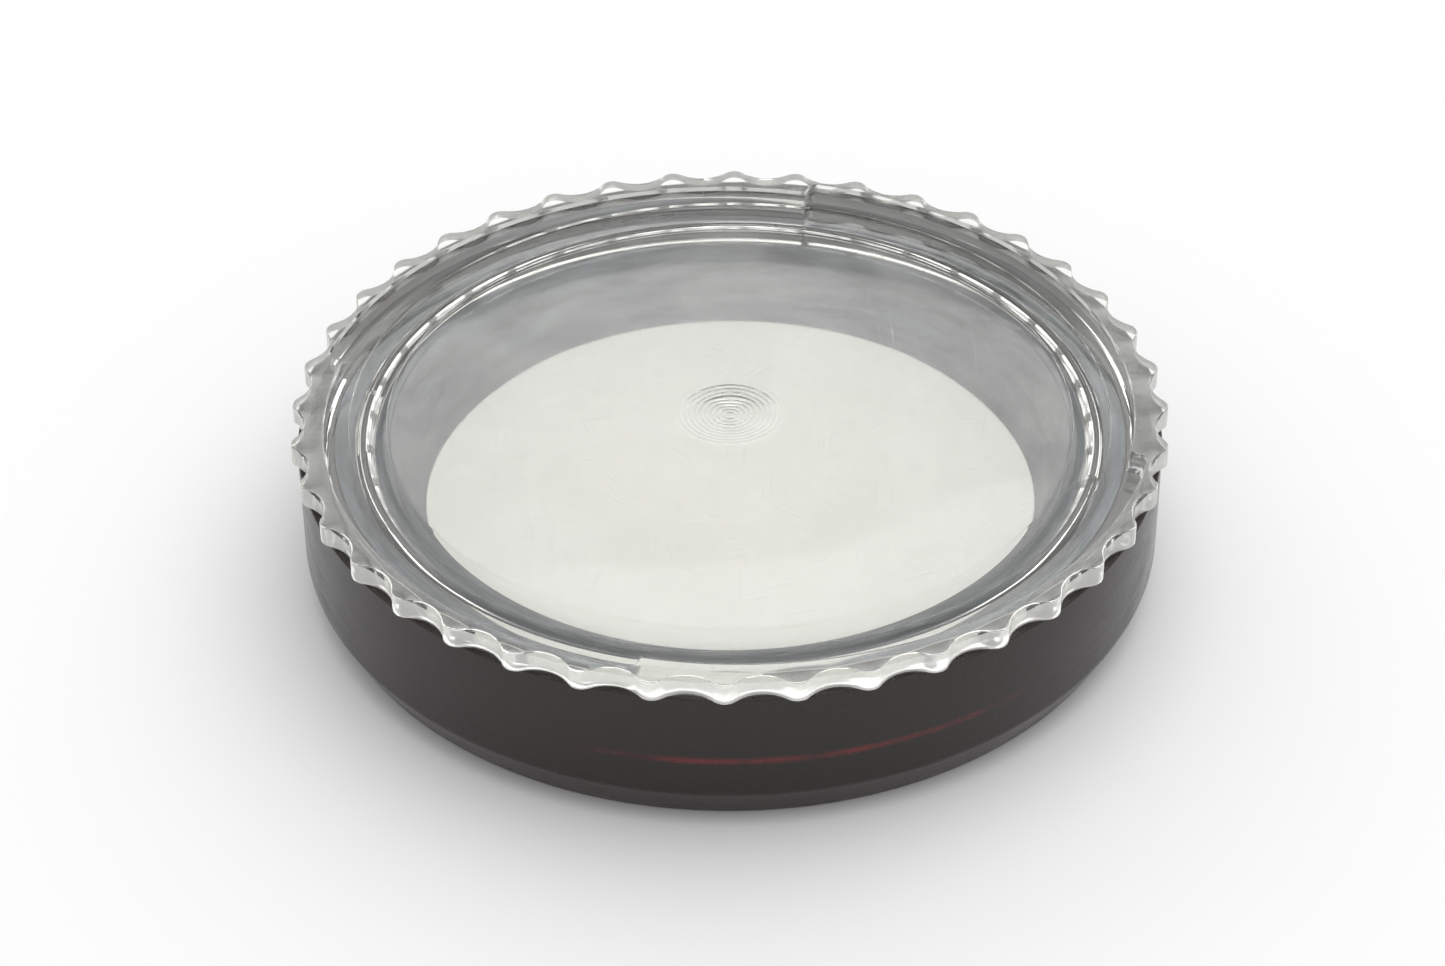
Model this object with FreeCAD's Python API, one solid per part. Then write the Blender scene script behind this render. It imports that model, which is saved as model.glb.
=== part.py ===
import FreeCAD, Part
import math
import os

# Filter head of a darkroom safelight: a ruby cup with an opal disc in it, closed by a clear cover
# that turns on four spiral cams. It stands on its ruby face.
# Millimetres and degrees. +Z is up, the origin is the middle of the base, and the axis is Z.

# Overall
OVERALL_HEIGHT = 24.0

# Clear cover
FLANGE_RADIUS = 60.0          # over the tips of the finger lobes
FLANGE_THICKNESS = 3.0
LOBE_COUNT = 40
LOBE_PHASE = -1.0             # direction of the first lobe's tip
LOBE_VALLEY_RADIUS = 58.15
LOBE_SHOULDER_RADIUS = 59.55  # where a valley's arc meets a tip's arc
LOBE_TIP_SHARE = 0.27         # part of the pitch taken by a tip
CAM_COUNT = 4
CAM_STEP_ANGLE = 77.7         # direction of the first cam's step
CAM_RADIUS_LOW = 55.1
CAM_RADIUS_HIGH = 57.5
CAM_NOSE_ROUND = 1.3          # radius of the corner at a cam's high end
PANEL_DROP = 0.65             # panel inside the cam line, below the flange
BAND_RADIUS = 52.1            # outer edge of the sloping band round the window
BAND_DROP = 1.05              # the same edge, below the flange
WINDOW_RADIUS = 47.0
WINDOW_EDGE_DROP = 1.2
WINDOW_DROP = 1.4
WINDOW_THICKNESS = 2.0
SPIGOT_DEPTH = 3.7            # below the flange
DIMPLE_RADIUS = 7.5
DIMPLE_DEPTH = 0.5

# Ruby cup
CUP_RADIUS = 59.2
CUP_BASE_RADIUS = 56.4
CUP_BEVEL_HEIGHT = 5.3
CUP_BORE_RADIUS = 54.6
CUP_FLOOR_THICKNESS = 3.5
CUP_INNER_FILLET = 2.0
CUP_RIM_ROUND = 0.3

# Fit of the cover in the cup
CAM_CLEARANCE = 0.06
RIM_CLEARANCE = 0.05
TURN_RANGE = 15.0             # from locked to free
TURN_SPARE = 1.0              # the pocket is this much longer than the turn
SEAT_GAP = 0.3                # between the spigot and what lies under it

# Opal disc
OPAL_RADIUS = 51.0
OPAL_THICKNESS = 3.0
OPAL_EDGE_CHAMFER = 0.4

# Reflector ring
RING_FOOT_RADIUS = 44.0
RING_THROAT_RADIUS = 52.6
RING_LIP_RADIUS = 54.4
RING_SHEET = 0.8

# Heights worked out from the above
FLANGE_UNDERSIDE = OVERALL_HEIGHT - FLANGE_THICKNESS
SPIGOT_BOTTOM = FLANGE_UNDERSIDE - SPIGOT_DEPTH
CUP_RIM_HEIGHT = FLANGE_UNDERSIDE - RIM_CLEARANCE
CUP_SHOULDER_HEIGHT = SPIGOT_BOTTOM - SEAT_GAP
WINDOW_TOP = OVERALL_HEIGHT - WINDOW_DROP
WINDOW_UNDERSIDE = WINDOW_TOP - WINDOW_THICKNESS
OPAL_TOP = CUP_FLOOR_THICKNESS + OPAL_THICKNESS

MARGIN = 5.0                  # how far cutting solids run past what they cut


def on_circle(radius, angle, height=0.0):
    """Point at a radius and an angle in degrees round Z."""
    turn = math.radians(angle)
    return FreeCAD.Vector(radius * math.cos(turn), radius * math.sin(turn), height)


def section(radius, height):
    """Point of a turned profile, in the XZ plane."""
    return FreeCAD.Vector(radius, 0, height)


def line(start, end):
    return Part.LineSegment(start, end).toShape()


def arc(start, middle, end):
    return Part.Arc(start, middle, end).toShape()


def turned(edges):
    """Solid of revolution round Z from the edges of a closed profile."""
    face = Part.Face(Part.Wire(edges))
    return face.revolve(FreeCAD.Vector(0, 0, 0), FreeCAD.Vector(0, 0, 1), 360)


def turned_polygon(points):
    corners = [section(radius, height) for radius, height in points]
    return turned([line(a, b) for a, b in zip(corners, corners[1:] + corners[:1])])


def prism(wire, bottom, top):
    """Solid with a flat outline, between two heights."""
    face = Part.Face(wire)
    face.translate(FreeCAD.Vector(0, 0, bottom))
    return face.extrude(FreeCAD.Vector(0, 0, top - bottom))


def lobed_outline():
    """Closed outline of rounded tips and hollow valleys, two arcs for each lobe."""
    pitch = 360.0 / LOBE_COUNT
    half_tip = pitch * LOBE_TIP_SHARE / 2
    edges = []
    for index in range(LOBE_COUNT):
        tip = LOBE_PHASE + index * pitch
        tip_start = on_circle(LOBE_SHOULDER_RADIUS, tip - half_tip)
        tip_end = on_circle(LOBE_SHOULDER_RADIUS, tip + half_tip)
        next_start = on_circle(LOBE_SHOULDER_RADIUS, tip + pitch - half_tip)
        edges.append(arc(tip_start, on_circle(FLANGE_RADIUS, tip), tip_end))
        edges.append(arc(tip_end, on_circle(LOBE_VALLEY_RADIUS, tip + pitch / 2), next_start))
    return Part.Wire(edges)


def cam_radius(angle_past_step):
    """Radius of the cam spiral, which rises from low to high over one cam."""
    share = angle_past_step / (360.0 / CAM_COUNT)
    return CAM_RADIUS_LOW + share * (CAM_RADIUS_HIGH - CAM_RADIUS_LOW)


def cam_outline(clearance=0.0, dwell=0.0):
    """Closed outline of spirals, each ending in a rounded nose and a step inwards.

    The clearance widens it all round, and the dwell carries each nose on past its step, so that
    a plain outline can turn inside the widened one.
    """
    span = 360.0 / CAM_COUNT
    nose = span - math.degrees(CAM_NOSE_ROUND / CAM_RADIUS_HIGH)
    low = cam_radius(dwell) + clearance
    high = cam_radius(nose) + clearance
    diagonal = CAM_NOSE_ROUND * math.sin(math.radians(45))
    nose_centre = high - CAM_NOSE_ROUND
    nose_side = nose_centre + diagonal
    middle = (dwell + nose) / 2
    edges = []
    for index in range(CAM_COUNT):
        start = CAM_STEP_ANGLE + index * span
        rise = on_circle(cam_radius(middle) + clearance, start + middle)
        crest = on_circle(high, start + nose)
        edges.append(arc(on_circle(low, start + dwell), rise, crest))
        if dwell:
            far = on_circle(high, start + nose + dwell)
            edges.append(arc(crest, on_circle(high, start + nose + dwell / 2), far))
            crest = far
        step = start + span + dwell
        side_angle = start + nose + dwell + math.degrees(diagonal / nose_side)
        nose_foot = on_circle(nose_centre, step)
        edges.append(arc(crest, on_circle(nose_side, side_angle), nose_foot))
        edges.append(line(nose_foot, on_circle(low, step)))
    return Part.Wire(edges)


def make_clear_cover():
    flange = prism(lobed_outline(), FLANGE_UNDERSIDE, OVERALL_HEIGHT)
    spigot = prism(cam_outline(), SPIGOT_BOTTOM, FLANGE_UNDERSIDE)
    body = flange.fuse(spigot)

    panel = prism(cam_outline(), OVERALL_HEIGHT - PANEL_DROP, OVERALL_HEIGHT + MARGIN)
    above = OVERALL_HEIGHT + MARGIN
    window_recess = turned_polygon([
        (0, WINDOW_TOP),
        (WINDOW_RADIUS, WINDOW_TOP),
        (WINDOW_RADIUS, OVERALL_HEIGHT - WINDOW_EDGE_DROP),
        (BAND_RADIUS, OVERALL_HEIGHT - BAND_DROP),
        (BAND_RADIUS, above),
        (0, above),
    ])

    # The cavity under the window ends in a quarter-round cove, which the spigot's bottom cuts off.
    cove_radius = BAND_RADIUS - WINDOW_RADIUS
    cove_centre = WINDOW_UNDERSIDE - cove_radius
    below = cove_centre
    middle_turn = math.radians(45)
    cove_top = section(WINDOW_RADIUS, WINDOW_UNDERSIDE)
    cove_middle = section(
        WINDOW_RADIUS + cove_radius * math.cos(middle_turn),
        cove_centre + cove_radius * math.sin(middle_turn),
    )
    cove_end = section(BAND_RADIUS, cove_centre)
    cavity = turned([
        line(section(0, below), section(0, WINDOW_UNDERSIDE)),
        line(section(0, WINDOW_UNDERSIDE), cove_top),
        arc(cove_top, cove_middle, cove_end),
        line(cove_end, section(0, below)),
    ])

    # The dimple is a shallow spherical dish.
    dish_radius = (DIMPLE_RADIUS ** 2 + DIMPLE_DEPTH ** 2) / (2 * DIMPLE_DEPTH)
    dish = Part.makeSphere(dish_radius)
    dish.translate(FreeCAD.Vector(0, 0, WINDOW_TOP - DIMPLE_DEPTH + dish_radius))

    return body.cut(panel).cut(window_recess).cut(cavity).cut(dish)


def make_ruby_cup():
    outside = turned_polygon([
        (0, 0),
        (CUP_BASE_RADIUS, 0),
        (CUP_RADIUS, CUP_BEVEL_HEIGHT),
        (CUP_RADIUS, CUP_RIM_HEIGHT - CUP_RIM_ROUND),
        (CUP_RADIUS - CUP_RIM_ROUND, CUP_RIM_HEIGHT),
        (0, CUP_RIM_HEIGHT),
    ])

    floor = CUP_FLOOR_THICKNESS
    fillet = CUP_INNER_FILLET
    middle_turn = math.radians(45)
    fillet_start = section(CUP_BORE_RADIUS - fillet, floor)
    fillet_middle = section(
        CUP_BORE_RADIUS - fillet + fillet * math.sin(middle_turn),
        floor + fillet - fillet * math.cos(middle_turn),
    )
    fillet_end = section(CUP_BORE_RADIUS, floor + fillet)
    above = CUP_RIM_HEIGHT + MARGIN
    bore = turned([
        line(section(0, floor), fillet_start),
        arc(fillet_start, fillet_middle, fillet_end),
        line(fillet_end, section(CUP_BORE_RADIUS, above)),
        line(section(CUP_BORE_RADIUS, above), section(0, above)),
        line(section(0, above), section(0, floor)),
    ])

    pocket_outline = cam_outline(CAM_CLEARANCE, TURN_RANGE + TURN_SPARE)
    pocket = prism(pocket_outline, CUP_SHOULDER_HEIGHT, above)
    return outside.cut(bore).cut(pocket)


def make_opal_disc():
    inner = OPAL_RADIUS - OPAL_EDGE_CHAMFER
    bottom = CUP_FLOOR_THICKNESS
    return turned_polygon([
        (0, bottom),
        (inner, bottom),
        (OPAL_RADIUS, bottom + OPAL_EDGE_CHAMFER),
        (OPAL_RADIUS, OPAL_TOP - OPAL_EDGE_CHAMFER),
        (inner, OPAL_TOP),
        (0, OPAL_TOP),
    ])


def make_reflector_ring():
    """Sheet cone that stands on the opal disc, with a flat lip at its top."""
    lip_top = CUP_SHOULDER_HEIGHT
    rise = lip_top - OPAL_TOP
    run = RING_THROAT_RADIUS - RING_FOOT_RADIUS
    slant = math.hypot(rise, run)
    width_across = RING_SHEET * slant / rise
    lip_start = RING_THROAT_RADIUS + width_across - RING_SHEET * run / rise
    return turned_polygon([
        (RING_FOOT_RADIUS, OPAL_TOP),
        (RING_FOOT_RADIUS + width_across, OPAL_TOP),
        (lip_start, lip_top - RING_SHEET),
        (RING_LIP_RADIUS, lip_top - RING_SHEET),
        (RING_LIP_RADIUS, lip_top),
        (RING_THROAT_RADIUS, lip_top),
    ])


NODES = {
    "ruby_cup": make_ruby_cup,
    "opal_disc": make_opal_disc,
    "reflector_ring": make_reflector_ring,
    "clear_cover": make_clear_cover,
}


def main():
    os.makedirs("parts", exist_ok=True)
    for name, make in NODES.items():
        shape = make()
        shape.exportStep(f"parts/{name}.step")
        print(name, "valid", shape.isValid(), "solids", len(shape.Solids), "volume", round(shape.Volume))


if __name__ == "__main__":
    main()
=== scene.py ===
import math

import bpy
import mathutils
import numpy as np
from bpy.props import FloatProperty, FloatVectorProperty, IntProperty, PointerProperty, StringProperty
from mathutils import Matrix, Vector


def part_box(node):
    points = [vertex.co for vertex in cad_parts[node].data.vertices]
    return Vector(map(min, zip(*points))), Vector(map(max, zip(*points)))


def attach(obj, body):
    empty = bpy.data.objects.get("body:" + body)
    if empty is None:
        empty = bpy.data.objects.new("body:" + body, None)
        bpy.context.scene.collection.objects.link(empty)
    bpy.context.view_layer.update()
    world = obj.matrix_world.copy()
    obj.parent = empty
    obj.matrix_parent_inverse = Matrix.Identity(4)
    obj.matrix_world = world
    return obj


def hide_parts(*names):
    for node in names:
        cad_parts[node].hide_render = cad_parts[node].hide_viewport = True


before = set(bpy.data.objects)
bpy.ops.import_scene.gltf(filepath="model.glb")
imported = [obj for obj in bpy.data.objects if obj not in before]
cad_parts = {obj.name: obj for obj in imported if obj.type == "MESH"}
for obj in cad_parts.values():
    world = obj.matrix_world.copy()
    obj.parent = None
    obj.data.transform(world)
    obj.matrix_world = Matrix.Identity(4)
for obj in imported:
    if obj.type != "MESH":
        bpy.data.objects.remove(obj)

bl_info = {
    "name": "Safelight Filter Head",
    "version": (1, 0, 0),
    "blender": (4, 5, 0),
    "location": "View3D > Sidebar > Safelight",
    "description": "Ruby cup, opal disc, reflector ring and clear lobed cover of a darkroom safelight",
    "category": "Object",
}

MM = 0.001
TAU = 2 * math.pi
ACRYLIC_IOR = 1.49
FLOOR_SIZE = 4.0              # metres
STEPS_PER_LOBE = 24           # round the cover
CUP_STEPS = 720
RING_STEPS = 360

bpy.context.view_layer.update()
COVER_LOW, COVER_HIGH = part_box("clear_cover")
_, CUP_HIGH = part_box("ruby_cup")
DISC_LOW, DISC_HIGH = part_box("opal_disc")
_, RING_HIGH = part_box("reflector_ring")

COVER_TOP = COVER_HIGH.z
COVER_BOTTOM = COVER_LOW.z
CUP_RADIUS = CUP_HIGH.x
CUP_RIM = CUP_HIGH.z
DISC_TOP = DISC_HIGH.z
FLOOR_TOP = DISC_LOW.z
RING_TOP = RING_HIGH.z
RING_RADIUS = RING_HIGH.x


# ---------------------------------------------------------------- settings


class CoverSettings(bpy.types.PropertyGroup):
    """Sizes and colour of the clear cover"""

    radius: FloatProperty(name="Radius", description="Over the tips of the finger lobes",
                          default=60 * MM, unit="LENGTH")
    flange_thickness: FloatProperty(name="Flange thickness", description="Height of the lobed edge",
                                    default=3 * MM, unit="LENGTH")
    lobe_count: IntProperty(name="Lobes", description="Finger lobes round the edge", default=40)
    lobe_phase: FloatProperty(name="Lobe phase", description="Direction of the first lobe",
                              default=math.radians(-1), subtype="ANGLE")
    valley_radius: FloatProperty(name="Valley radius", description="Bottom of the hollows between lobes",
                                 default=58.15 * MM, unit="LENGTH")
    shoulder_radius: FloatProperty(name="Shoulder radius", description="Where a hollow meets a tip",
                                   default=59.55 * MM, unit="LENGTH")
    tip_share: FloatProperty(name="Tip share", description="Part of the pitch taken by a tip",
                             default=0.27, subtype="FACTOR")
    cam_count: IntProperty(name="Cams", description="Spiral cam segments", default=4)
    cam_step: FloatProperty(name="Cam step", description="Direction of the first cam's step",
                            default=math.radians(77.7), subtype="ANGLE")
    cam_low: FloatProperty(name="Cam low radius", description="Radius just past a cam's step",
                           default=55.1 * MM, unit="LENGTH")
    cam_high: FloatProperty(name="Cam high radius", description="Radius at a cam's high end",
                            default=57.5 * MM, unit="LENGTH")
    cam_round: FloatProperty(name="Cam nose round", description="Corner radius at a cam's high end",
                             default=1.3 * MM, unit="LENGTH")
    panel_drop: FloatProperty(name="Panel drop", description="Panel inside the cam line, below the flange",
                              default=0.65 * MM, unit="LENGTH")
    band_radius: FloatProperty(name="Band radius", description="Outer edge of the band round the window",
                               default=52.1 * MM, unit="LENGTH")
    band_drop: FloatProperty(name="Band drop", description="Band's outer edge, below the flange",
                             default=1.05 * MM, unit="LENGTH")
    window_radius: FloatProperty(name="Window radius", description="Edge of the flat window",
                                 default=47 * MM, unit="LENGTH")
    window_edge_drop: FloatProperty(name="Window edge drop", description="Band's inner edge, below the flange",
                                    default=1.2 * MM, unit="LENGTH")
    window_drop: FloatProperty(name="Window drop", description="Window, below the flange",
                               default=1.4 * MM, unit="LENGTH")
    window_thickness: FloatProperty(name="Window thickness", description="Wall of the window",
                                    default=2 * MM, unit="LENGTH")
    dimple_radius: FloatProperty(name="Dimple radius", description="Edge of the centre dimple",
                                 default=7.5 * MM, unit="LENGTH")
    dimple_depth: FloatProperty(name="Dimple depth", description="Depth of the centre dimple",
                                default=0.5 * MM, unit="LENGTH")
    groove_depth: FloatProperty(name="Groove depth", description="Turning rings in the dimple",
                                default=0.09 * MM, unit="LENGTH")
    bloom: FloatProperty(name="Bloom", description="Most haze on the window", default=0.11, subtype="FACTOR")
    frost: FloatProperty(name="Frost", description="Whiteness of the frosted flange top", default=0.08,
                         subtype="FACTOR")
    milk: FloatProperty(name="Milk", description="Milkiness of the upright walls", default=0.5,
                        subtype="FACTOR")
    milk_radius: FloatProperty(name="Milk radius", description="Where the milk reaches the top edge",
                               default=59.3 * MM, unit="LENGTH")
    milk_slope: FloatProperty(name="Milk slope", description="How fast its edge drops into the hollows",
                              default=0.85, subtype="FACTOR")
    colour: StringProperty(name="Colour", description="Clear acrylic, sRGB hex", default="FAFAF6")


class CupSettings(bpy.types.PropertyGroup):
    """Sizes and colour of the ruby cup"""

    base_radius: FloatProperty(name="Base radius", description="Flat face that the cup stands on",
                               default=56.4 * MM, unit="LENGTH")
    bevel_height: FloatProperty(name="Bevel height", description="Height of the bevel at the foot",
                                default=5.3 * MM, unit="LENGTH")
    bore_radius: FloatProperty(name="Bore radius", description="Inside of the wall",
                               default=54.6 * MM, unit="LENGTH")
    inner_fillet: FloatProperty(name="Inner fillet", description="Round between floor and wall",
                                default=2 * MM, unit="LENGTH")
    edge_round: FloatProperty(name="Edge round", description="Round on the outer edges",
                              default=0.3 * MM, unit="LENGTH")
    cam_clearance: FloatProperty(name="Cam clearance", description="Gap round the cover's cams",
                                 default=0.06 * MM, unit="LENGTH")
    pocket_turn: FloatProperty(name="Pocket turn", description="How much longer each pocket is than its cam",
                               default=math.radians(16), subtype="ANGLE")
    # The thin red line is a painted glow: light through the wall, painted into the base colour
    glow_height: FloatProperty(name="Glow height", description="Height of the thin red line",
                               default=11 * MM, unit="LENGTH")
    glow_side: FloatProperty(name="Glow side", description="Direction of the thin red line's middle",
                             default=math.radians(280), subtype="ANGLE")
    colour: StringProperty(name="Colour", description="Dark ruby acrylic, sRGB hex", default="1B1110")
    # Painted glow: maroon standing in for floor light coming back through the ruby at the foot
    foot_painted_glow_colour: StringProperty(name="Foot colour", description="Bevelled foot, sRGB hex", default="241012")
    # Painted glow: colour of the light that gets through the wall, painted as a thin red line
    painted_glow_colour: StringProperty(name="Glow colour", description="Thin red line, sRGB hex", default="5E1A1C")


class RingSettings(bpy.types.PropertyGroup):
    """Sizes and colour of the reflector ring"""

    foot_radius: FloatProperty(name="Foot radius", description="Inner edge, on the opal disc",
                               default=44 * MM, unit="LENGTH")
    throat_radius: FloatProperty(name="Throat radius", description="Inner edge of the flat lip",
                                 default=52.6 * MM, unit="LENGTH")
    sheet: FloatProperty(name="Sheet", description="Thickness of the metal", default=0.8 * MM, unit="LENGTH")
    colour: StringProperty(name="Colour", description="Dulled aluminium, sRGB hex", default="6C7279")
    blotch_colour: StringProperty(name="Blotch colour", description="Darker blotches, sRGB hex",
                                  default="3E444A")


class DiscSettings(bpy.types.PropertyGroup):
    """Colour of the opal disc"""

    colour: StringProperty(name="Colour", description="Opal acrylic, sRGB hex", default="FFFFFD")
    cloud_colour: StringProperty(name="Cloud colour", description="Faint clouds in it, sRGB hex",
                                 default="FAFBF7")


class StageSettings(bpy.types.PropertyGroup):
    """Floor, light and camera"""

    floor_colour: StringProperty(name="Floor colour", description="Pale paper, sRGB hex", default="E0E0E0")
    light_colour: FloatVectorProperty(name="Light colour", description="Tint of the studio light",
                                      default=(1.0, 1.0, 1.0), subtype="COLOR")
    surround: FloatProperty(name="Surround", description="Strength of the even light all round", default=0.8)
    behind: FloatProperty(name="Behind", description="Added strength of the lit wall behind", default=1.45)
    overhead: FloatProperty(name="Overhead", description="Strength of the wide soft light overhead",
                            default=1.3)
    spread: FloatProperty(name="Spread", description="Width of the soft light overhead",
                          default=math.radians(76), subtype="ANGLE")
    tilt_back: FloatProperty(name="Tilt back", description="Overhead light's lean about X",
                             default=math.radians(-10), subtype="ANGLE")
    tilt_aside: FloatProperty(name="Tilt aside", description="Overhead light's lean about Y",
                              default=math.radians(14), subtype="ANGLE")
    elevation: FloatProperty(name="Elevation", description="Camera's height angle over the floor",
                             default=math.radians(36.94), subtype="ANGLE")
    distance: FloatProperty(name="Distance", description="Camera to the cover, along the view",
                            default=509.9 * MM, unit="LENGTH")
    aside: FloatProperty(name="Aside", description="Camera's offset to the left of the axis",
                         default=1.07 * MM, unit="LENGTH")
    below: FloatProperty(name="Below", description="Camera's offset down from the cover's middle",
                         default=10.75 * MM, unit="LENGTH")
    roll: FloatProperty(name="Roll", description="Camera's turn about its view",
                        default=math.radians(-0.444), subtype="ANGLE")
    lens: FloatProperty(name="Lens", description="Focal length on a 36 mm wide sensor, in mm", default=92.75)


# ---------------------------------------------------------------- colour and nodes


def linear(hex_colour):
    """Linear colour of an sRGB hex value."""
    channels = [int(hex_colour[i:i + 2], 16) / 255 for i in (0, 2, 4)]
    return [c / 12.92 if c <= 0.04045 else ((c + 0.055) / 1.055) ** 2.4 for c in channels] + [1.0]


def add_node(material, kind, settings=None, **inputs):
    """Adds a node with its settings. An input takes a value or another node's output socket."""
    node = material.node_tree.nodes.new(kind)
    for name, value in (settings or {}).items():
        setattr(node, name, value)
    for name, value in inputs.items():
        socket = node.inputs[int(name[1:])] if name[1:].isdigit() else node.inputs[name.replace("_", " ")]
        if isinstance(value, bpy.types.NodeSocket):
            material.node_tree.links.new(value, socket)
        else:
            socket.default_value = value
    return node


def new_material(name):
    """Empty material with only its output node."""
    material = bpy.data.materials.new(name)
    material.use_nodes = True
    material.node_tree.nodes.clear()
    output = material.node_tree.nodes.new("ShaderNodeOutputMaterial")
    return material, output


def finish_material(material, output, shader):
    material.node_tree.links.new(shader.outputs[0], output.inputs["Surface"])
    return material


def per_mm(count):
    """Pattern scale that gives this many features in a millimetre of Object coordinates."""
    return count / MM


# ---------------------------------------------------------------- modelling


def deselect_all():
    if bpy.context.object and bpy.context.object.mode != "OBJECT":
        bpy.ops.object.mode_set(mode="OBJECT")
    bpy.ops.object.select_all(action="DESELECT")


def spun_piece(name, profile, steps):
    """Draws a chain of (radius, height) points by extruding a vertex, and spins it round Z."""
    deselect_all()
    bpy.ops.mesh.primitive_plane_add(size=MM, location=(0, 0, 0))
    piece = bpy.context.object
    piece.name = piece.data.name = name
    bpy.ops.object.mode_set(mode="EDIT")
    bpy.ops.mesh.select_all(action="SELECT")
    bpy.ops.mesh.merge(type="CENTER")
    radius, height = profile[0]
    bpy.ops.transform.translate(value=(radius, 0, height))
    for next_radius, next_height in profile[1:]:
        move = (next_radius - radius, 0, next_height - height)
        bpy.ops.mesh.extrude_region_move(TRANSFORM_OT_translate={"value": move})
        radius, height = next_radius, next_height
    bpy.ops.mesh.select_all(action="SELECT")
    bpy.ops.mesh.spin(steps=steps, angle=TAU, center=(0, 0, 0), axis=(0, 0, 1))
    bpy.ops.mesh.select_all(action="SELECT")
    bpy.ops.mesh.remove_doubles(threshold=0.0005 * MM)
    bpy.ops.mesh.select_all(action="SELECT")
    bpy.ops.mesh.normals_make_consistent(inside=False)
    bpy.ops.object.mode_set(mode="OBJECT")
    return piece


def shape_rings(piece, profile, rules):
    """Moves the rings named in rules from a plain circle to an outline.

    A rule is an outline, a function of angle, and the radius that stands for it in the profile.
    """
    points = np.empty(len(piece.data.vertices) * 3)
    piece.data.vertices.foreach_get("co", points)
    points = points.reshape(-1, 3)
    radii = np.hypot(points[:, 0], points[:, 1])
    angles = np.arctan2(points[:, 1], points[:, 0])
    rings = np.array(profile)
    nearest = np.array([np.argmin((rings[:, 0] - radius) ** 2 + (rings[:, 1] - height) ** 2)
                        for radius, height in zip(radii, points[:, 2])])
    for ring, rule in enumerate(rules):
        if rule:
            outline, nominal = rule
            chosen = np.flatnonzero(nearest == ring)
            shaped = np.array([outline(angle) for angle in angles[chosen]])
            grow = (shaped + radii[chosen] - nominal) / radii[chosen]
            points[chosen, :2] *= grow[:, None]
    piece.data.vertices.foreach_set("co", points.ravel())
    piece.data.update()


def smooth_piece(piece, angle=30):
    deselect_all()
    piece.select_set(True)
    bpy.context.view_layer.objects.active = piece
    bpy.ops.object.shade_smooth_by_angle(angle=math.radians(angle))


def rounded(corner, before, after, size, steps=3):
    """Points of a round of that size on a profile's corner."""
    corner, before, after = (mathutils.Vector(p) for p in (corner, before, after))
    towards_before = (before - corner).normalized()
    towards_after = (after - corner).normalized()
    start = corner + towards_before * size
    end = corner + towards_after * size
    points = []
    for step in range(steps + 1):
        share = step / steps
        on_first = start.lerp(corner, share)
        on_second = corner.lerp(end, share)
        points.append(tuple(on_first.lerp(on_second, share)))
    return points


def circle_through(apex, shoulder, half_angle):
    """Centre distance and radius of the arc with this apex and with shoulders at both sides."""
    centre = (apex ** 2 - shoulder ** 2) / (2 * (apex - shoulder * math.cos(half_angle)))
    return centre, abs(apex - centre)


def lobe_outline(cover):
    """Radius of the lobed edge at an angle, with the corners between arcs worn smooth."""
    pitch = TAU / cover.lobe_count
    half_tip = pitch * cover.tip_share / 2
    half_valley = pitch / 2 - half_tip
    tip_centre, tip_radius = circle_through(cover.radius, cover.shoulder_radius, half_tip)
    valley_centre, valley_radius = circle_through(cover.valley_radius, cover.shoulder_radius, half_valley)
    wear = pitch * 0.02           # how far round the wear reaches
    samples = (-1.0, -0.5, 0.0, 0.5, 1.0)

    def sharp(angle):
        past = (angle - cover.lobe_phase + pitch / 2) % pitch - pitch / 2
        if abs(past) <= half_tip:
            side = tip_centre * math.sin(past)
            return tip_centre * math.cos(past) + math.sqrt(tip_radius ** 2 - side ** 2)
        past = abs(past) - pitch / 2
        side = valley_centre * math.sin(past)
        return valley_centre * math.cos(past) - math.sqrt(valley_radius ** 2 - side ** 2)

    return lambda angle: sum(sharp(angle + s * wear) for s in samples) / len(samples)


def cam_outline(cover, clearance=0.0, dwell=0.0):
    """Radius of the cam line at an angle: spirals that end in a rounded nose and a step."""
    span = TAU / cover.cam_count
    nose = span - cover.cam_round / cover.cam_high
    rise = (cover.cam_high - cover.cam_low) / span
    crest = cover.cam_low + rise * nose

    def radius(angle):
        past = (angle - cover.cam_step - dwell) % span + dwell
        if past <= nose:
            return cover.cam_low + rise * past + clearance
        if past <= nose + dwell:
            return crest + clearance
        along = min((past - nose - dwell) * crest, cover.cam_round)
        return crest - cover.cam_round + math.sqrt(cover.cam_round ** 2 - along ** 2) + clearance

    return radius


# ---------------------------------------------------------------- materials


def off_axis(material, place):
    """Direction from the Z axis, as a unit vector, and the distance from it."""
    level = add_node(material, "ShaderNodeVectorMath", {"operation": "MULTIPLY"}, _0=place, _1=(1, 1, 0))
    heading = add_node(material, "ShaderNodeVectorMath", {"operation": "NORMALIZE"}, _0=level.outputs[0])
    distance = add_node(material, "ShaderNodeVectorMath", {"operation": "LENGTH"}, _0=level.outputs[0])
    return heading.outputs[0], distance.outputs["Value"]


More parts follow.
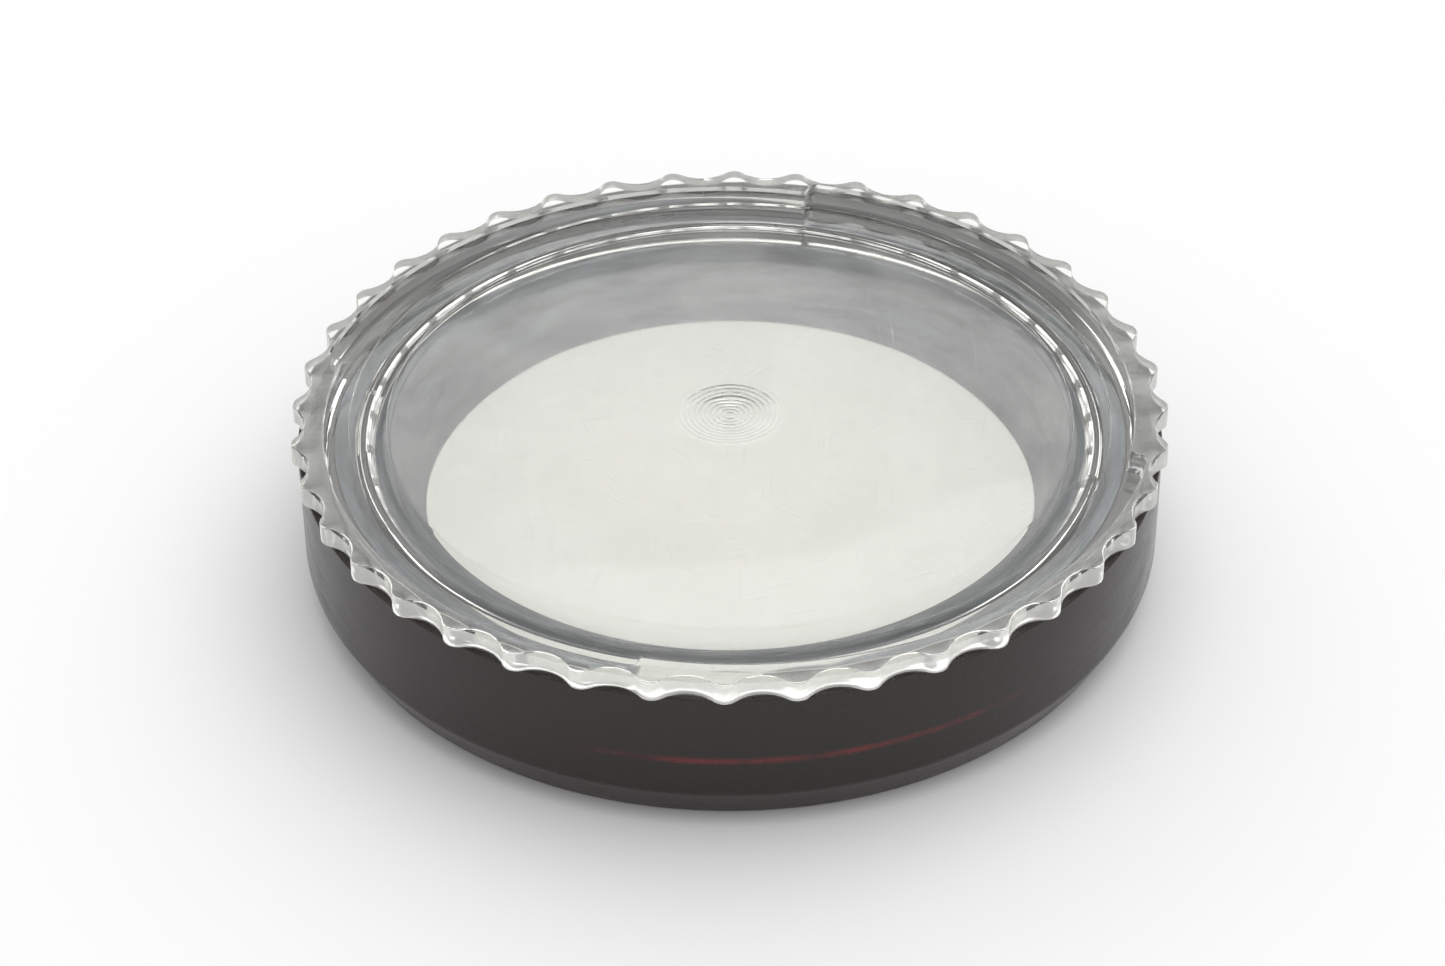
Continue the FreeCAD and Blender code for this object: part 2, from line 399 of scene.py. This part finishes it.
def hair_scratches(material, place, patch, seed):
    """Hair scratches that lie a different way in each patch. The patch is in millimetres."""
    shifted = add_node(material, "ShaderNodeVectorMath", {"operation": "ADD"}, _0=place,
                       _1=(seed, seed * 0.7, 0))
    patches = add_node(material, "ShaderNodeTexVoronoi", Vector=shifted.outputs[0], Scale=per_mm(1 / patch))
    turn = add_node(material, "ShaderNodeMath", {"operation": "MULTIPLY"}, _0=patches.outputs["Color"],
                    _1=TAU)
    turned = add_node(material, "ShaderNodeVectorRotate", {"rotation_type": "Z_AXIS"},
                      Vector=shifted.outputs[0], Angle=turn.outputs[0])
    # A real hair scratch is a few hundredths wide; these are drawn 0.2 mm wide, so that they show.
    lay = add_node(material, "ShaderNodeMapping", Vector=turned.outputs[0],
                   Scale=(per_mm(0.12), per_mm(3.0), per_mm(0.12)))
    streaks = add_node(material, "ShaderNodeTexNoise", Vector=lay.outputs[0], Scale=1.0, Detail=2.0)
    return add_node(material, "ShaderNodeMapRange", Value=streaks.outputs["Fac"],
                    From_Min=0.66, From_Max=0.76).outputs[0]


def clear_acrylic(cover):
    """Moulded clear acrylic: glossy and see-through, with hair scratches and a bloom over the window.

    The upright walls of the lobes and of the cam line are milky, as they left the mould, and the
    flange's top is finely frosted, so it reads as grey and not as glass.
    """
    material, output = new_material("clear_acrylic")
    place = add_node(material, "ShaderNodeTexCoord").outputs["Object"]
    _, reach = off_axis(material, place)
    long_ones = hair_scratches(material, place, 22, 0.013)
    short_ones = hair_scratches(material, place, 7, 0.071)
    scratches = add_node(material, "ShaderNodeMath", {"operation": "MAXIMUM"}, _0=long_ones, _1=short_ones)
    # Bloom, in clouds of about 14 mm.
    clouds = add_node(material, "ShaderNodeTexNoise", Vector=place, Scale=per_mm(1 / 14), Detail=5.0)
    bloom = add_node(material, "ShaderNodeMapRange", Value=clouds.outputs["Fac"],
                     From_Min=0.35, From_Max=0.7, To_Min=cover.bloom * 0.4, To_Max=cover.bloom)
    window = add_node(material, "ShaderNodeMapRange", Value=reach,
                      From_Min=cover.window_radius, From_Max=cover.window_radius - 0.6 * MM)
    veil = add_node(material, "ShaderNodeMath", {"operation": "MULTIPLY"}, _0=bloom.outputs[0],
                    _1=window.outputs[0])
    # Milk in the upright walls, from the cam line outwards.
    facing = add_node(material, "ShaderNodeSeparateXYZ",
                      Vector=add_node(material, "ShaderNodeNewGeometry").outputs["Normal"])
    lean = add_node(material, "ShaderNodeMath", {"operation": "ABSOLUTE"}, _0=facing.outputs[2])
    upright = add_node(material, "ShaderNodeMapRange", Value=lean.outputs[0], From_Min=0.75, From_Max=0.35)
    outside = add_node(material, "ShaderNodeMapRange", Value=reach, From_Min=cover.cam_high + 0.1 * MM,
                       From_Max=cover.valley_radius - 0.1 * MM, To_Min=0.15, To_Max=1.0)
    # In each hollow the milk ends in a straight line, and the wall over it is clear and dark.
    height = add_node(material, "ShaderNodeSeparateXYZ", Vector=place).outputs[2]
    cone = add_node(material, "ShaderNodeMath", {"operation": "MULTIPLY_ADD"}, _0=reach, _1=-cover.milk_slope,
                    _2=height)
    edge = COVER_TOP - cover.milk_slope * cover.milk_radius
    below = add_node(material, "ShaderNodeMapRange", Value=cone.outputs[0], From_Min=edge + 0.04 * MM,
                     From_Max=edge - 0.04 * MM)
    lobed = add_node(material, "ShaderNodeMath", {"operation": "MULTIPLY"}, _0=outside.outputs[0],
                     _1=below.outputs[0])
    milk = add_node(material, "ShaderNodeMath", {"operation": "MULTIPLY"}, _0=upright.outputs[0],
                    _1=lobed.outputs[0])
    milky = add_node(material, "ShaderNodeMath", {"operation": "MULTIPLY"}, _0=milk.outputs[0], _1=cover.milk)
    # Frost on the flange's top. Its real grain of 0.15 mm is too fine to show and is drawn at 0.5 mm.
    topmost = add_node(material, "ShaderNodeMapRange", Value=height, From_Min=COVER_TOP - 0.25 * MM,
                       From_Max=COVER_TOP - 0.1 * MM)
    grain = add_node(material, "ShaderNodeTexNoise", Vector=place, Scale=per_mm(1 / 0.5), Detail=3.0)
    speckle = add_node(material, "ShaderNodeMapRange", Value=grain.outputs["Fac"], From_Min=0.3,
                       From_Max=0.7, To_Min=cover.frost * 0.6, To_Max=cover.frost * 1.4)
    frosted = add_node(material, "ShaderNodeMath", {"operation": "MULTIPLY"}, _0=topmost.outputs[0],
                       _1=speckle.outputs[0])
    marked = add_node(material, "ShaderNodeMath", {"operation": "MULTIPLY_ADD"},
                      _0=scratches.outputs[0], _1=0.1, _2=veil.outputs[0])
    moulded = add_node(material, "ShaderNodeMath", {"operation": "MAXIMUM"}, _0=milky.outputs[0],
                       _1=frosted.outputs[0])
    solid = add_node(material, "ShaderNodeMath", {"operation": "MAXIMUM"}, _0=marked.outputs[0],
                     _1=moulded.outputs[0])
    passed = add_node(material, "ShaderNodeMath", {"operation": "SUBTRACT"}, _0=1.0, _1=solid.outputs[0])
    gloss = add_node(material, "ShaderNodeMath", {"operation": "MULTIPLY_ADD"},
                     _0=solid.outputs[0], _1=0.35, _2=0.02)
    rough = add_node(material, "ShaderNodeMath", {"operation": "MULTIPLY_ADD"},
                     _0=topmost.outputs[0], _1=0.1, _2=gloss.outputs[0])
    bump = add_node(material, "ShaderNodeBump", Height=scratches.outputs[0], Strength=0.04,
                    Distance=0.02 * MM)
    shader = add_node(material, "ShaderNodeBsdfPrincipled", Base_Color=linear(cover.colour), IOR=ACRYLIC_IOR,
                      Roughness=rough.outputs[0], Transmission_Weight=passed.outputs[0],
                      Normal=bump.outputs[0])
    return finish_material(material, output, shader)


def ruby_acrylic(cup):
    """Turned and polished ruby acrylic: so dense that it looks black, with a wet gloss.

    The maroon at the bevelled foot is a painted glow of floor light coming back through the ruby, and the red
    in one thin line is a painted glow where light gets through the wall.
    """
    material, output = new_material("ruby_acrylic")
    place = add_node(material, "ShaderNodeTexCoord").outputs["Object"]
    heading, _ = off_axis(material, place)
    height = add_node(material, "ShaderNodeSeparateXYZ", Vector=place).outputs[2]
    # Turning marks, a third of a millimetre apart up the wall.
    marks = add_node(material, "ShaderNodeMapping", Vector=place,
                     Scale=(per_mm(0.05), per_mm(0.05), per_mm(3.0)))
    lines = add_node(material, "ShaderNodeTexNoise", Vector=marks.outputs[0], Scale=1.0, Detail=4.0)
    scuffs = add_node(material, "ShaderNodeTexNoise", Vector=place, Scale=per_mm(1 / 6), Detail=6.0,
                      Roughness=0.7)
    wear = add_node(material, "ShaderNodeMath", {"operation": "MULTIPLY"}, _0=lines.outputs["Fac"],
                    _1=scuffs.outputs["Fac"])
    rough = add_node(material, "ShaderNodeMapRange", Value=wear.outputs[0],
                     From_Min=0.15, From_Max=0.40, To_Min=0.16, To_Max=0.34)
    # Painted glow: the red line where light gets through the wall is painted into the base colour. It fades
    # over 0.7 mm up and down from mid wall, and is broken along its length.
    off_line = add_node(material, "ShaderNodeMath", {"operation": "SUBTRACT"}, _0=height,
                        _1=cup.glow_height)
    gap = add_node(material, "ShaderNodeMath", {"operation": "ABSOLUTE"}, _0=off_line.outputs[0])
    thin = add_node(material, "ShaderNodeMapRange", Value=gap.outputs[0], From_Min=0.7 * MM, From_Max=0.1 * MM)
    towards = add_node(material, "ShaderNodeVectorMath", {"operation": "DOT_PRODUCT"}, _0=heading,
                       _1=(math.cos(cup.glow_side), math.sin(cup.glow_side), 0))
    near = add_node(material, "ShaderNodeMapRange", Value=towards.outputs["Value"],
                    From_Min=0.86, From_Max=0.96)
    line = add_node(material, "ShaderNodeMath", {"operation": "MULTIPLY"}, _0=thin.outputs[0],
                    _1=near.outputs[0])
    broken = add_node(material, "ShaderNodeMapRange", Value=scuffs.outputs["Fac"],
                      From_Min=0.4, From_Max=0.6, To_Min=0.25, To_Max=1.0)
    painted_glow = add_node(material, "ShaderNodeMath", {"operation": "MULTIPLY"}, _0=line.outputs[0],
                    _1=broken.outputs[0])
    # Painted glow: the bevelled foot is mixed towards maroon, standing in for floor light scattered back
    # through the ruby.
    foot = add_node(material, "ShaderNodeMapRange", Value=height, From_Min=cup.bevel_height,
                    From_Max=cup.bevel_height * 0.7)
    body = add_node(material, "ShaderNodeMix", {"data_type": "RGBA"}, Factor=foot.outputs[0],
                    _6=linear(cup.colour), _7=linear(cup.foot_painted_glow_colour))
    tone = add_node(material, "ShaderNodeMix", {"data_type": "RGBA"}, Factor=painted_glow.outputs[0],
                    _6=body.outputs[2], _7=linear(cup.painted_glow_colour))
    bump = add_node(material, "ShaderNodeBump", Height=lines.outputs["Fac"], Strength=0.06,
                    Distance=0.02 * MM)
    shader = add_node(material, "ShaderNodeBsdfPrincipled", Base_Color=tone.outputs[2], IOR=ACRYLIC_IOR,
                      Roughness=rough.outputs[0], Normal=bump.outputs[0])
    return finish_material(material, output, shader)


def opal_acrylic(disc):
    """Cast opal acrylic: milky white all through, with a satin face and faint clouds."""
    material, output = new_material("opal_acrylic")
    place = add_node(material, "ShaderNodeTexCoord").outputs["Object"]
    clouds = add_node(material, "ShaderNodeTexNoise", Vector=place, Scale=per_mm(1 / 9), Detail=3.0)
    tone = add_node(material, "ShaderNodeMix", {"data_type": "RGBA"}, Factor=clouds.outputs["Fac"],
                    _6=linear(disc.colour), _7=linear(disc.cloud_colour))
    rough = add_node(material, "ShaderNodeMapRange", Value=clouds.outputs["Fac"], From_Min=0.3,
                     From_Max=0.7, To_Min=0.35, To_Max=0.5)
    shader = add_node(material, "ShaderNodeBsdfPrincipled", Base_Color=tone.outputs[2], IOR=ACRYLIC_IOR,
                      Roughness=rough.outputs[0])
    return finish_material(material, output, shader)


def dulled_aluminium(ring):
    """Spun aluminium sheet gone dull: blue-grey, with blotches drawn out along the spinning marks."""
    material, output = new_material("dulled_aluminium")
    place = add_node(material, "ShaderNodeTexCoord").outputs["Object"]
    heading, reach = off_axis(material, place)
    # Blotches 1 mm across the sheet and about 9 mm round it.
    across = add_node(material, "ShaderNodeMath", {"operation": "MULTIPLY"}, _0=reach, _1=per_mm(0.9))
    round_it = add_node(material, "ShaderNodeVectorMath", {"operation": "SCALE"}, _0=heading, Scale=5.5)
    lift = add_node(material, "ShaderNodeCombineXYZ", Z=across.outputs[0])
    spun = add_node(material, "ShaderNodeVectorMath", {"operation": "ADD"}, _0=round_it.outputs[0],
                    _1=lift.outputs[0])
    blotches = add_node(material, "ShaderNodeTexNoise", Vector=spun.outputs[0], Scale=1.0, Detail=7.0,
                        Roughness=0.68)
    spread = add_node(material, "ShaderNodeMapRange", Value=blotches.outputs["Fac"], From_Min=0.32,
                      From_Max=0.68)
    tone = add_node(material, "ShaderNodeMix", {"data_type": "RGBA"}, Factor=spread.outputs[0],
                    _6=linear(ring.colour), _7=linear(ring.blotch_colour))
    rough = add_node(material, "ShaderNodeMapRange", Value=blotches.outputs["Fac"],
                     From_Min=0.3, From_Max=0.7, To_Min=0.35, To_Max=0.6)
    shader = add_node(material, "ShaderNodeBsdfPrincipled", Base_Color=tone.outputs[2], Metallic=1.0,
                      Roughness=rough.outputs[0])
    return finish_material(material, output, shader)


def white_paper(stage):
    """Seamless white paper, pale grey in this light: matt, with a barely visible tooth."""
    material, output = new_material("white_paper")
    place = add_node(material, "ShaderNodeTexCoord").outputs["Object"]
    tooth = add_node(material, "ShaderNodeTexNoise", Vector=place, Scale=per_mm(1 / 1.5), Detail=2.0)
    bump = add_node(material, "ShaderNodeBump", Height=tooth.outputs["Fac"], Strength=0.05,
                    Distance=0.05 * MM)
    shader = add_node(material, "ShaderNodeBsdfPrincipled", Base_Color=linear(stage.floor_colour),
                      Roughness=0.9, Specular_IOR_Level=0.0, Normal=bump.outputs[0])
    return finish_material(material, output, shader)


def give_material(piece, material):
    piece.data.materials.clear()
    piece.data.materials.append(material)


# ---------------------------------------------------------------- operators


class SAFELIGHT_OT_clear_cover(bpy.types.Operator):
    """Model the clear lobed cover with its cam line, window and dimple"""

    bl_idname = "safelight.clear_cover"
    bl_label = "Clear cover"

    def execute(self, context):
        cover = context.scene.safelight_cover
        top = COVER_TOP
        underside = top - cover.flange_thickness
        bottom = COVER_BOTTOM
        window_top = top - cover.window_drop
        window_under = window_top - cover.window_thickness
        panel = top - cover.panel_drop
        band_out = (cover.band_radius, top - cover.band_drop)
        band_in = (cover.window_radius, top - cover.window_edge_drop)
        outer = cover.radius
        cam = cover.cam_high
        lobes = lobe_outline(cover)
        cams = cam_outline(cover)

        profile = []
        rules = []

        def run(points, outline=None, nominal=None):
            for point in points:
                profile.append(point)
                rules.append((outline, nominal) if outline else None)

        # Dimple: a dish with turning rings 0.75 mm apart.
        rings = 10
        per_ring = 3
        dish = (cover.dimple_radius ** 2 + cover.dimple_depth ** 2) / (2 * cover.dimple_depth)
        run([(0.0, window_top - cover.dimple_depth)])
        for step in range(1, rings * per_ring):
            radius = cover.dimple_radius * step / (rings * per_ring)
            groove = cover.groove_depth if step % per_ring == 0 else 0.0
            sag = dish - math.sqrt(dish ** 2 - radius ** 2)
            run([(radius, window_top - cover.dimple_depth + sag + groove)])
        run([(cover.dimple_radius, window_top), (cover.dimple_radius + 0.3 * MM, window_top)])
        run([(cover.dimple_radius * 2, window_top), (cover.window_radius * 0.6, window_top)])
        # Window edge, sloping band and panel.
        edge_foot = (cover.window_radius, window_top)
        run(rounded(edge_foot, (0, window_top), band_in, 0.08 * MM))
        run(rounded(band_in, edge_foot, band_out, 0.08 * MM))
        panel_edge = (cover.band_radius, panel)
        run(rounded(band_out, band_in, panel_edge, 0.05 * MM))
        run(rounded(panel_edge, band_out, (cam, panel), 0.06 * MM))
        run([(cover.band_radius + 1.2 * MM, panel)])
        run(rounded((cam, panel), panel_edge, (cam, top), 0.1 * MM), cams, cam)
        run(rounded((cam, top), (cam, panel), (outer, top), 0.12 * MM), cams, cam)
        # Flat top out to the lobed edge.
        run(rounded((outer, top), (cam, top), (outer, underside), 0.3 * MM), lobes, outer)
        run(rounded((outer, underside), (outer, top), (0, underside), 0.2 * MM), lobes, outer)
        # Spigot, cove and the window's underside.
        run([(cam, underside), (cam, bottom + 0.3 * MM), (cam - 0.3 * MM, bottom)], cams, cam)
        cove = cover.band_radius - cover.window_radius
        centre = window_under - cove
        start = math.asin((bottom - centre) / cove)
        for step in range(9):
            turn = start + (math.pi / 2 - start) * step / 8
            run([(cover.window_radius + cove * math.cos(turn), centre + cove * math.sin(turn))])
        run([(cover.window_radius * 0.5, window_under), (0.0, window_under)])

        piece = spun_piece("clear_cover_moulding", profile, cover.lobe_count * STEPS_PER_LOBE)
        shape_rings(piece, profile, rules)
        smooth_piece(piece, 35)
        give_material(piece, clear_acrylic(cover))
        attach(piece, "cover")
        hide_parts("clear_cover")
        return {"FINISHED"}


class SAFELIGHT_OT_ruby_cup(bpy.types.Operator):
    """Model the ruby cup with its bevelled foot and the cam pockets in its rim"""

    bl_idname = "safelight.ruby_cup"
    bl_label = "Ruby cup"

    def execute(self, context):
        cup = context.scene.safelight_cup
        cover = context.scene.safelight_cover
        bore = cup.bore_radius
        fillet = cup.inner_fillet
        shoulder = RING_TOP
        pocket = cover.cam_high
        pockets = cam_outline(cover, cup.cam_clearance, cup.pocket_turn)
        foot = (cup.base_radius, 0.0)
        knee = (CUP_RADIUS, cup.bevel_height)
        rim = (CUP_RADIUS, CUP_RIM)

        profile = [(0.0, 0.0), (cup.base_radius * 0.6, 0.0)]
        profile += rounded(foot, (0, 0), knee, 0.5 * MM)
        profile += rounded(knee, foot, rim, 0.5 * MM)
        profile += rounded(rim, knee, (0, CUP_RIM), cup.edge_round)
        rules = [None] * len(profile)
        edge = [(pocket, CUP_RIM), (pocket, shoulder)]
        profile += edge
        rules += [(pockets, pocket)] * len(edge)
        inside = [(bore, shoulder), (bore, FLOOR_TOP + fillet)]
        for step in range(1, 5):
            turn = math.pi / 2 * step / 4
            inside.append((bore - fillet + fillet * math.cos(turn),
                           FLOOR_TOP + fillet - fillet * math.sin(turn)))
        inside.append((0.0, FLOOR_TOP))
        profile += inside
        rules += [None] * len(inside)

        piece = spun_piece("ruby_cup_moulding", profile, CUP_STEPS)
        shape_rings(piece, profile, rules)
        smooth_piece(piece, 30)
        give_material(piece, ruby_acrylic(cup))
        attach(piece, "cup")
        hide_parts("ruby_cup")
        return {"FINISHED"}


class SAFELIGHT_OT_reflector_ring(bpy.types.Operator):
    """Model the spun reflector ring with a flat lip turned out at its top"""

    bl_idname = "safelight.reflector_ring"
    bl_label = "Reflector ring"

    def execute(self, context):
        ring = context.scene.safelight_ring
        top = RING_TOP
        rise = top - DISC_TOP
        run = ring.throat_radius - ring.foot_radius
        across = ring.sheet * math.hypot(rise, run) / rise
        lip_start = ring.throat_radius + across - ring.sheet * run / rise
        inner_foot = (ring.foot_radius, DISC_TOP)
        outer_foot = (ring.foot_radius + across, DISC_TOP)
        throat = (ring.throat_radius, top)
        bend = (lip_start, top - ring.sheet)
        lip_low = (RING_RADIUS, top - ring.sheet)
        lip_high = (RING_RADIUS, top)
        small = ring.sheet * 0.25

        profile = rounded(inner_foot, outer_foot, throat, small)
        profile += rounded(throat, inner_foot, lip_high, ring.sheet * 0.6)
        profile += rounded(lip_high, throat, lip_low, small)
        profile += rounded(lip_low, lip_high, bend, small)
        profile += rounded(bend, lip_low, outer_foot, ring.sheet * 0.6)
        profile += rounded(outer_foot, bend, inner_foot, small)
        profile.append(profile[0])

        piece = spun_piece("reflector_ring_spinning", profile, RING_STEPS)
        smooth_piece(piece, 30)
        give_material(piece, dulled_aluminium(ring))
        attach(piece, "cup")
        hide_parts("reflector_ring")
        return {"FINISHED"}


class SAFELIGHT_OT_opal_disc(bpy.types.Operator):
    """Finish the opal disc"""

    bl_idname = "safelight.opal_disc"
    bl_label = "Opal disc"

    def execute(self, context):
        give_material(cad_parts["opal_disc"], opal_acrylic(context.scene.safelight_disc))
        return {"FINISHED"}


class SAFELIGHT_OT_stage(bpy.types.Operator):
    """Lay the pale floor and set the soft light and the camera"""

    bl_idname = "safelight.stage"
    bl_label = "Stage"

    def execute(self, context):
        stage = context.scene.safelight_stage
        self.lay_floor(stage)
        self.set_light(context, stage)
        self.set_camera(context, stage)
        context.scene.view_settings.view_transform = "Standard"
        return {"FINISHED"}

    def lay_floor(self, stage):
        deselect_all()
        bpy.ops.mesh.primitive_plane_add(size=FLOOR_SIZE, location=(0, 0, 0))
        floor = bpy.context.object
        floor.name = "paper_floor"
        give_material(floor, white_paper(stage))

    def set_light(self, context, stage):
        """An even surround, a lit wall low behind, and a wide soft light overhead."""
        world = bpy.data.worlds.new("studio")
        context.scene.world = world
        world.use_nodes = True
        world.node_tree.nodes.clear()
        ahead = add_node(world, "ShaderNodeTexCoord").outputs["Generated"]
        parts = add_node(world, "ShaderNodeSeparateXYZ", Vector=ahead)
        back = add_node(world, "ShaderNodeMapRange", {"interpolation_type": "SMOOTHSTEP"},
                        Value=parts.outputs[1], From_Min=0.35, From_Max=0.75)
        low = add_node(world, "ShaderNodeMapRange", {"interpolation_type": "SMOOTHSTEP"},
                       Value=parts.outputs[2], From_Min=0.72, From_Max=0.50)
        wall = add_node(world, "ShaderNodeMath", {"operation": "MULTIPLY"}, _0=back.outputs[0],
                        _1=low.outputs[0])
        strength = add_node(world, "ShaderNodeMath", {"operation": "MULTIPLY_ADD"}, _0=wall.outputs[0],
                            _1=stage.behind, _2=stage.surround)
        background = add_node(world, "ShaderNodeBackground", Color=(*stage.light_colour, 1.0),
                              Strength=strength.outputs[0])
        out = add_node(world, "ShaderNodeOutputWorld", Surface=background.outputs[0])
        out.is_active_output = True
        bpy.ops.object.light_add(type="SUN", location=(0, 0, 1))
        lamp = bpy.context.object
        lamp.name = "overhead_soft_light"
        lamp.data.angle = stage.spread
        lamp.data.energy = stage.overhead
        lamp.data.color = stage.light_colour
        lamp.rotation_euler = (stage.tilt_back, stage.tilt_aside, 0)

    def set_camera(self, context, stage):
        """The camera looks along +Y and down, offset a little in its own picture plane."""
        right = mathutils.Vector((1, 0, 0))
        up = mathutils.Vector((0, math.sin(stage.elevation), math.cos(stage.elevation)))
        ahead = mathutils.Vector((0, math.cos(stage.elevation), -math.sin(stage.elevation)))
        place = mathutils.Vector((0, 0, COVER_TOP))
        place -= ahead * stage.distance + right * stage.aside + up * stage.below
        cosine = math.cos(stage.roll)
        sine = math.sin(stage.roll)
        across = right * cosine + up * sine
        upward = up * cosine - right * sine
        bpy.ops.object.camera_add()
        camera = bpy.context.object
        camera.data.lens = stage.lens
        camera.data.sensor_width = 36.0
        camera.matrix_world = mathutils.Matrix((
            (across.x, upward.x, -ahead.x, place.x),
            (across.y, upward.y, -ahead.y, place.y),
            (across.z, upward.z, -ahead.z, place.z),
            (0, 0, 0, 1),
        ))
        context.scene.camera = camera


class SAFELIGHT_PT_parts(bpy.types.Panel):
    """Lists the pieces of the safelight's filter head"""

    bl_idname = "SAFELIGHT_PT_parts"
    bl_label = "Safelight filter head"
    bl_space_type = "VIEW_3D"
    bl_region_type = "UI"
    bl_category = "Safelight"

    def draw(self, context):
        for operator in OPERATORS:
            self.layout.operator(operator.bl_idname)


SETTINGS = {
    "safelight_cover": CoverSettings,
    "safelight_cup": CupSettings,
    "safelight_ring": RingSettings,
    "safelight_disc": DiscSettings,
    "safelight_stage": StageSettings,
}
OPERATORS = (
    SAFELIGHT_OT_stage,
    SAFELIGHT_OT_ruby_cup,
    SAFELIGHT_OT_opal_disc,
    SAFELIGHT_OT_reflector_ring,
    SAFELIGHT_OT_clear_cover,
)


def register():
    for name, settings in SETTINGS.items():
        bpy.utils.register_class(settings)
        setattr(bpy.types.Scene, name, PointerProperty(type=settings))
    for operator in OPERATORS:
        bpy.utils.register_class(operator)
    bpy.utils.register_class(SAFELIGHT_PT_parts)


def unregister():
    bpy.utils.unregister_class(SAFELIGHT_PT_parts)
    for operator in reversed(OPERATORS):
        bpy.utils.unregister_class(operator)
    for name, settings in SETTINGS.items():
        delattr(bpy.types.Scene, name)
        bpy.utils.unregister_class(settings)


def main():
    register()
    bpy.ops.safelight.stage()
    bpy.ops.safelight.ruby_cup()
    bpy.ops.safelight.opal_disc()
    bpy.ops.safelight.reflector_ring()
    bpy.ops.safelight.clear_cover()


if __name__ == "__main__":
    main()
